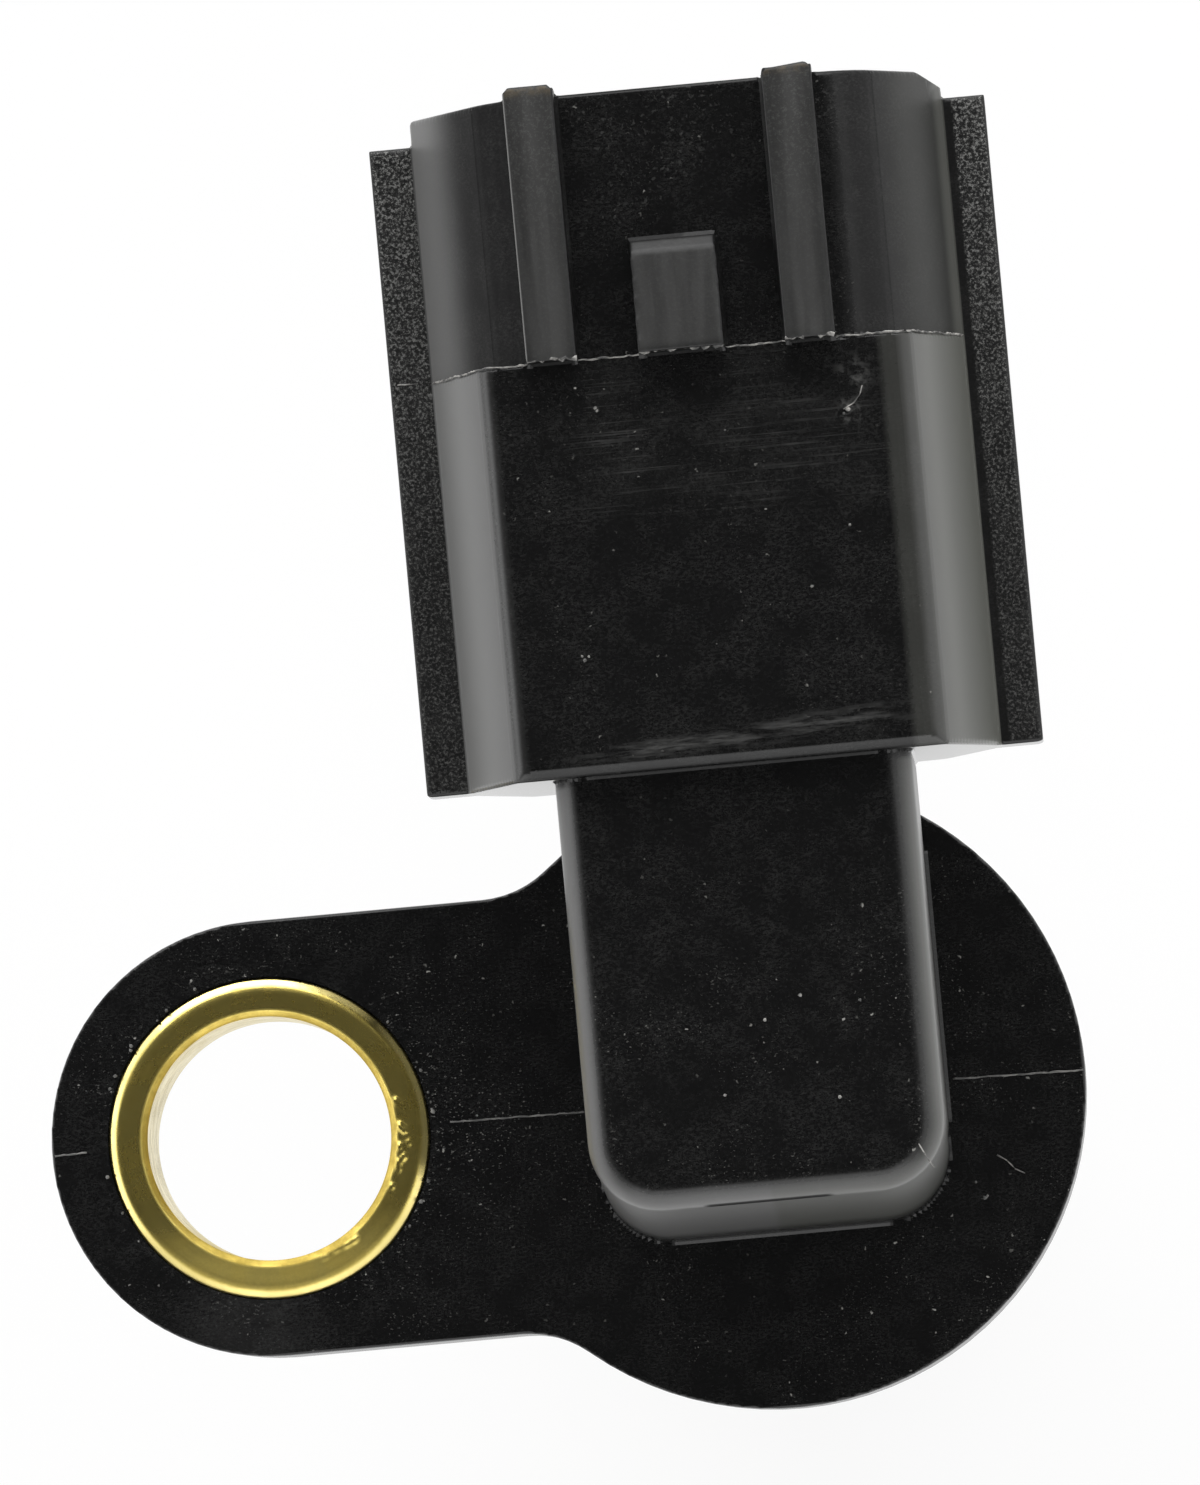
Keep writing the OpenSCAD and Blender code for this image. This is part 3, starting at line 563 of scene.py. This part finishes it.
def bushLine(size):  # half section from the bore's foot round the outside, and which rings the bruises raise
    bore, outer, top = size["bore"], size["outer"], size["top"]
    wide, tall, inner = size["rimWide"], size["rimHigh"], size["innerRim"]
    line = [(bore, inner), (bore + inner, 0), (outer - wide, 0), (outer, tall), (outer, size["grooveLow"]),
            (size["grooveR"], size["grooveLow"]), (size["grooveR"], size["grooveHigh"]), (outer, size["grooveHigh"])]
    upper = len(line)
    line += [(outer - across, top - tall - down) for across, down in size["rimFoot"]]
    across, drop = size["rimStart"]
    line += [(outer - across, top - tall * drop)]
    line += [(outer - wide * k, top - tall * drop) for k, drop in rimCurve]
    flatFrom, flatTo = outer - wide - size["flatIn"], bore + inner + size["flatOut"]
    gaps = size["flatRings"] - 1
    line += [(flatFrom - (flatFrom - flatTo) * i / gaps, top) for i in range(size["flatRings"])]
    line += [(bore + inner * k, top - inner * drop) for k, drop in innerCurve]
    lower = len(line)
    line += [(bore, top - deep) for deep in size["boreRings"]]
    return line, range(upper, lower)


def bruise(turn, r, size):  # how far the bruises raise a point
    rise = 0.0
    for at, reach, high in lumps:
        arc, away = math.radians(turn - at) * r, r - size["bore"] - reach
        rise += size["lumpRise"] * high * math.exp(-(arc / size["lumpArc"]) ** 2 - (away / size["lumpReach"]) ** 2)
    return rise


def makeBush(size, material):
    line, raisedRings = bushLine(size)
    points, faces, many, turns = [], [], len(line), size["turns"]
    for k in range(turns):
        a = 360.0 * k / turns
        turn = a - 360 if a > 180 else a
        for i, (r, z) in enumerate(line):
            if i in raisedRings:
                z += bruise(turn, r, size)
            points.append((body["earX"] + r * math.cos(math.radians(a)), r * math.sin(math.radians(a)), z))
        here, ahead = k * many, ((k + 1) % turns) * many
        for j in range(many):
            faces.append((here + j, ahead + j, ahead + (j + 1) % many, here + (j + 1) % many))
    made = piece("bushTurned", points, faces, material)
    made.data.set_sharp_from_angle(angle=size["sharp"])
    return made


brassMaterial = brassFinish(brassLook)
bushTurned = makeBush(bush, brassMaterial)
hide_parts("bolt_bushing")
print("bushing turned:", len(bushTurned.data.polygons), "faces")

# Flash: thin pale lines of plastic where the mould's halves met
flash = {"line": 0.026, "seam": 0.026, "bead": 0.095, "step": 0.12, "beadStep": 0.1, "seed": 11, "ahead": 0.03,
         "lineStray": 0.02, "beadStray": 0.05, "beadSink": 0.03, "seamStray": 0.012, "beadDeep": 0.05,
         "lineSizes": (0.6, 1.25), "wingSizes": (0.4, 1.1), "beadSizes": (0.3, 1.15), "seamSizes": (0.7, 1.2),
         "wingLine": ((-7.5, 0.03), (-8.05, 0.05)), "wingRise": 0.005}
beads = ((-3.85, -3.08, 0.8), (-4.4, -3.9, 0.4), (-1.4, 0.8, 1.0), (2.45, 2.95, 0.7), (3.3, 3.75, 0.7))
seams = (((-19.42, 0.05), (-18.55, 0.06)), ((-8.68, -0.01), (-5.0, -0.07)), ((4.96, -0.09), (8.5, -0.17)))
flashLook = {"pale": (0.36, 0.35, 0.33), "grey": (0.07, 0.07, 0.068), "rough": 0.5, "lowShare": 0.45,
             "paleFrom": (8.0, 10.0), "grainDeep": 0.01, "grainShare": 0.5}


def flashFinish(look):
    f = Finish("paleFlash")
    place = f.place()
    z = f.split(place)[2]
    patches = f.step(f.noise(place, 2.2, 3.0, 0.6), 0.4, 0.62)
    pale = patches * f.step(z, *look["paleFrom"], look["lowShare"], 1.0)
    return f.surface({"Base Color": f.mix(pale, look["grey"], look["pale"]),
                      "Roughness": look["rough"] + patches * 0.1,
                      "Normal": f.bump(f.noise(place, 14.0, 2.0), look["grainDeep"], look["grainShare"])})


def ridge(points, faces, path, sizes, sides=6):  # a closed thread along a path
    start = len(points)
    for i, (spot, size) in enumerate(zip(path, sizes)):
        ahead, behind = path[min(i + 1, len(path) - 1)], path[max(i - 1, 0)]
        along = (Vector(ahead) - Vector(behind)).normalized()
        across = along.orthogonal().normalized()
        other = along.cross(across)
        for k in range(sides):
            t = 2 * math.pi * k / sides
            points.append(Vector(spot) + (across * math.cos(t) + other * math.sin(t)) * size)
    for i in range(len(path) - 1):
        for k in range(sides):
            a, b = start + i * sides + k, start + i * sides + (k + 1) % sides
            faces.append((a, b, b + sides, a + sides))
    faces.append(tuple(reversed(range(start, start + sides))))
    faces.append(tuple(range(len(points) - sides, len(points))))


def shellOutline(y, step, turns=6):  # over the shell from one wing to the other, and the same underneath
    half, top, axis = body["shellHalf"], body["rearTopHalf"], body["shellAxisZ"]
    high, waist, corner = body["shellTop"] - axis, body["wingTop"] - axis, body["rearCorner"]
    lean = math.atan2(high - waist, half - top)
    cut = corner * math.tan(lean / 2)
    bends = [lean * i / turns for i in range(turns + 1)]
    arc = [Vector((top - cut + corner * math.sin(t), y, high - corner + corner * math.cos(t))) for t in bends]
    right = arc + alongLine(arc[-1], (half, y, waist), step)[1:]
    left = [Vector((-v.x, v.y, v.z)) for v in reversed(right)]
    over = left + alongLine(left[-1], right[0], step)[1:-1] + right
    return [[Vector((v.x, v.y, axis + side * v.z)) for v in over] for side in (1, -1)]


def makeFlash(size, material):
    rng = random.Random(size["seed"])
    points, faces = [], []
    y = body["partingY"]

    def stray(path, side, sink=0.0):  # the line wanders a little
        if not sink:
            return [Vector((p.x, p.y + rng.uniform(-side, side), p.z)) for p in path]
        return [Vector((p.x, p.y + rng.uniform(-side, side), p.z + rng.uniform(-sink, 0.0))) for p in path]

    def lay(path, thick, sizes):
        ridge(points, faces, path, [thick * rng.uniform(*sizes) for _ in path])

    for path in shellOutline(y, size["step"]):
        lay(stray(path, size["lineStray"]), size["line"], size["lineSizes"])
    wingEnds = [(x, y + ahead, body["wingTop"] + size["wingRise"]) for x, ahead in size["wingLine"]]
    lay(alongLine(*wingEnds, size["step"]), size["seam"], size["wingSizes"])
    beadY, beadZ = y + size["ahead"], body["raisedTop"] - size["beadDeep"]
    for left, right, share in beads:
        path = alongLine((left, beadY, beadZ), (right, beadY, beadZ), size["beadStep"])
        lay(stray(path, size["beadStray"], size["beadSink"]), size["bead"] * share, size["beadSizes"])
    for a, b in seams:
        path = alongLine((*a, body["flangeTop"]), (*b, body["flangeTop"]), size["step"])
        lay(stray(path, size["seamStray"]), size["seam"], size["seamSizes"])
    return piece("mouldingFlash", points, faces, material)


flashMaterial = flashFinish(flashLook)
makeFlash(flash, flashMaterial)
print("flash laid")

# Lint and crumbs that lie on the moulding
lint = {"thread": 0.022, "crumb": 0.05, "seed": 23, "threadSteps": 4, "threadSides": 5, "threadSizes": (0.6, 1.1),
        "rings": ((100, 215, 11), (-40, 40, 12)), "ringReach": (4.4, 4.52), "ringSizes": (0.6, 1.3)}
threads = (((5.96, -2.24, 6.02), (6.2, -2.4, 6.03), (6.42, -2.66, 6.03), (6.67, -2.8, 6.02)),
           ((4.0, -1.95, 16.36), (4.12, -2.2, 16.33), (4.25, -2.45, 16.2), (4.37, -2.62, 16.0)),
           ((4.35, 18.15, 17.31), (4.27, 17.92, 17.31), (4.08, 17.7, 17.31), (3.8, 17.56, 17.31)))
# crumbs: place and share of the full size
crumbs = ((5.33, -2.92, 6.0, 0.8), (5.53, -3.37, 6.0, 1.3), (5.6, -3.32, 6.0, 0.9), (-2.74, 18.2, 17.3, 1.0),
          (-2.7, 18.12, 17.3, 0.9), (-3.22, 18.78, 17.3, 0.8), (-3.61, 11.57, 17.3, 1.2), (-3.5, 11.66, 17.3, 0.9),
          (-3.68, 11.68, 17.3, 0.8), (0.63, 17.3, 17.3, 0.7), (2.55, 12.97, 17.3, 0.9), (3.69, 14.49, 17.3, 0.9),
          (3.92, 17.55, 17.3, 1.4), (3.8, 17.45, 17.3, 1.0), (1.23, 2.25, 16.4, 1.1), (0.25, 1.68, 16.4, 1.0),
          (2.8, 1.98, 16.4, 1.0), (-0.99, -0.2, 16.4, 0.9), (2.04, -0.53, 16.4, 1.0))


def crumbShape(points, faces, spot, size, rng):  # a squat lump with six uneven sides
    start, sides, layers = len(points), 6, ((-0.4, 0.8), (0.15, 1.0), (0.6, 0.55))  # height and width of each layer
    for tall, wide in layers:
        for k in range(sides):
            t = 2 * math.pi * k / sides
            r = size * wide * rng.uniform(0.7, 1.2)
            points.append((spot[0] + r * math.cos(t), spot[1] + r * math.sin(t), spot[2] + size * tall))
    for i in range(len(layers) - 1):
        for k in range(sides):
            a, b = start + i * sides + k, start + i * sides + (k + 1) % sides
            faces.append((a, b, b + sides, a + sides))
    faces.append(tuple(reversed(range(start, start + sides))))
    faces.append(tuple(range(len(points) - sides, len(points))))


def makeLint(size, material):
    rng = random.Random(size["seed"])
    points, faces = [], []
    steps = size["threadSteps"]
    for thread in threads:
        path = [Vector(a).lerp(Vector(b), i / steps) for a, b in zip(thread, thread[1:]) for i in range(steps)]
        path.append(Vector(thread[-1]))
        widths = [size["thread"] * rng.uniform(*size["threadSizes"]) for _ in path]
        ridge(points, faces, path, widths, size["threadSides"])
    for *spot, share in crumbs:
        crumbShape(points, faces, spot, size["crumb"] * share, rng)
    for turn in [rng.uniform(a, b) for a, b, many in size["rings"] for _ in range(many)]:  # round the bushing
        reach, t = rng.uniform(*size["ringReach"]), math.radians(turn)
        spot = (body["earX"] + reach * math.cos(t), reach * math.sin(t), body["spotFloor"])
        crumbShape(points, faces, spot, size["crumb"] * rng.uniform(*size["ringSizes"]), rng)
    return piece("lintAndCrumbs", points, faces, material)


makeLint(lint, flashMaterial)
print("lint laid")

# Plain finishes of the pieces the photograph doesn't show
plainLooks = {
    "o_ring": {"base": (0.022, 0.022, 0.022), "worn": (0.035, 0.035, 0.034), "rough": 0.55, "metal": 0.0},
    "tip_cap": {"base": (0.012, 0.012, 0.0125), "worn": (0.02, 0.02, 0.02), "rough": 0.34, "metal": 0.0},
    "terminal": {"base": (0.7, 0.68, 0.62), "worn": (0.55, 0.53, 0.48), "rough": 0.3, "metal": 1.0},
    "element_holder": {"base": (0.6, 0.52, 0.36), "worn": (0.52, 0.45, 0.31), "rough": 0.45, "metal": 0.0},
    "hall_ic": {"base": (0.028, 0.028, 0.03), "worn": (0.04, 0.04, 0.04), "rough": 0.5, "metal": 0.0},
    "lead": {"base": (0.7, 0.69, 0.66), "worn": (0.58, 0.57, 0.54), "rough": 0.32, "metal": 1.0},
    "flux_plate": {"base": (0.45, 0.46, 0.48), "worn": (0.36, 0.36, 0.37), "rough": 0.38, "metal": 1.0},
    "bias_magnet": {"base": (0.36, 0.36, 0.37), "worn": (0.3, 0.3, 0.31), "rough": 0.28, "metal": 1.0},
    "capacitor": {"base": (0.5, 0.36, 0.21), "worn": (0.42, 0.3, 0.18), "rough": 0.4, "metal": 0.0},
}


def plainFinish(name, look):
    f = Finish(name + "Finish")
    place = f.place()
    cloud = f.noise(place, 1.4, 4.0, 0.6)
    grain = f.noise(place, 9.0, 3.0, 0.6)
    tone = f.mix(f.step(cloud, 0.4, 0.7), look["base"], look["worn"])
    rough = look["rough"] + (grain - 0.5) * 0.16
    return f.surface({"Base Color": tone, "Metallic": look["metal"], "Roughness": rough,
                      "Normal": f.bump(grain, 0.01, 0.4)})


plainMaterials = {name: plainFinish(name, look) for name, look in plainLooks.items()}
replaced = {"housing": mouldMaterial, "bolt_bushing": brassMaterial}  # nodes that the pieces above stand for
for name, node in nodes.items():
    plain = [made for key, made in plainMaterials.items() if name.startswith(key)]
    node.data.materials.clear()
    node.data.materials.append(plain[0] if plain else replaced[name])
    for polygon in node.data.polygons:
        polygon.use_smooth = True
print("finishes given to", len(nodes), "nodes")

# Studio: white surround, pale floor, a dark card overhead and four soft boxes, in metres
studio = {"surround": 1.0, "floorTone": (0.95, 0.95, 0.95), "floorShade": 0.14, "floorSize": 4.0, "cardHeight": 0.6,
          "cardCentre": (-0.2, -0.106), "cardDark": 0.48, "cardEnd": 0.78, "cardStretch": 1.15, "cardSides": 64,
          "cardTone": (0.06, 0.06, 0.06)}
softBoxes = {"boxBehind": {"at": (0.0, 0.75, 0.4), "wide": 1.3, "tall": 0.84, "level": 3.2},
             "boxLeft": {"at": (-0.85, 0.1, 0.17), "wide": 1.3, "tall": 0.36, "level": 1.6},
             "boxRight": {"at": (0.75, 0.1, 0.36), "wide": 1.3, "tall": 0.72, "level": 0.4},
             "boxFront": {"at": (0.0, -0.9, 0.45), "wide": 1.3, "tall": 0.86, "level": 1.2}}


def makeFloor(look):  # white where it is seen, with a little of its own shading
    f = Finish("paleFloor")
    path = f.node("LightPath", output="Is Camera Ray")
    seen = f.step(path + path.also("Is Glossy Ray") + path.also("Is Transmission Ray"), 0.0, 1.0, 0.0,
                  1 - look["floorShade"])
    matt = f.node("BsdfDiffuse", None, {"Color": (*look["floorTone"], 1)})
    pale = f.node("Emission", None, {"Color": (1, 1, 1, 1), "Strength": 1.0})
    f.node("OutputMaterial", None, {"Surface": f.node("MixShader", None, {0: seen, 1: matt, 2: pale})})
    half = look["floorSize"] / 2
    corners = [(-half, -half), (half, -half), (half, half), (-half, half)]
    return flatStage("floor", corners, cadBox[0].z, f.owner)


def makeCard(look):  # fades to nothing at its rim
    f = Finish("darkCard")
    x, y, z = f.split(f.node("TexCoord", output="Object"))
    cx, cy = look["cardCentre"]
    wide, end, sides = look["cardStretch"], look["cardEnd"], look["cardSides"]
    shade = f.patch(x / wide, y, (cx / wide, cy), look["cardDark"], end)
    dark = f.node("BsdfDiffuse", None, {"Color": (*look["cardTone"], 1)})
    clear = f.node("BsdfTransparent")
    f.node("OutputMaterial", None, {"Surface": f.node("MixShader", None, {0: shade, 1: clear, 2: dark})})
    turns = [2 * math.pi * i / sides for i in range(sides)]
    outline = [(cx + wide * end * math.cos(t), cy + end * math.sin(t)) for t in turns]
    card = flatStage("card", outline, look["cardHeight"], f.owner)
    card.visible_camera = False
    return card


def makeStudio(look, boxes):
    world = bpy.data.worlds.new("surround")
    bpy.context.scene.world = world
    f = Finish("surround", world)
    sky = f.node("Background", None, {"Color": (1, 1, 1, 1), "Strength": look["surround"]})
    f.node("OutputWorld", None, {"Surface": sky})
    floor, card = makeFloor(look), makeCard(look)
    for name, box in boxes.items():
        data = bpy.data.lights.new(name, "AREA")
        data.shape, data.size, data.size_y = "RECTANGLE", box["wide"], box["tall"]
        data.energy = box["level"] * math.pi * box["wide"] * box["tall"]
        lamp = bpy.data.objects.new(name, data)
        spot = Vector(box["at"])
        turn = Vector((spot.x, spot.y, 0)).to_track_quat("Z", "Y")
        lamp.matrix_world = Matrix.Translation(spot) @ turn.to_matrix().to_4x4()
        lamp.visible_camera = False
        bpy.context.scene.collection.objects.link(lamp)


def flatStage(name, outline, z, material):
    mesh = bpy.data.meshes.new(name)
    mesh.from_pydata([(x, y, z) for x, y in outline], [], [list(range(len(outline)))])
    mesh.materials.append(material)
    made = bpy.data.objects.new(name, mesh)
    bpy.context.scene.collection.objects.link(made)
    return made


makeStudio(studio, softBoxes)
bpy.context.scene.view_settings.view_transform = "Standard"
print("studio set")
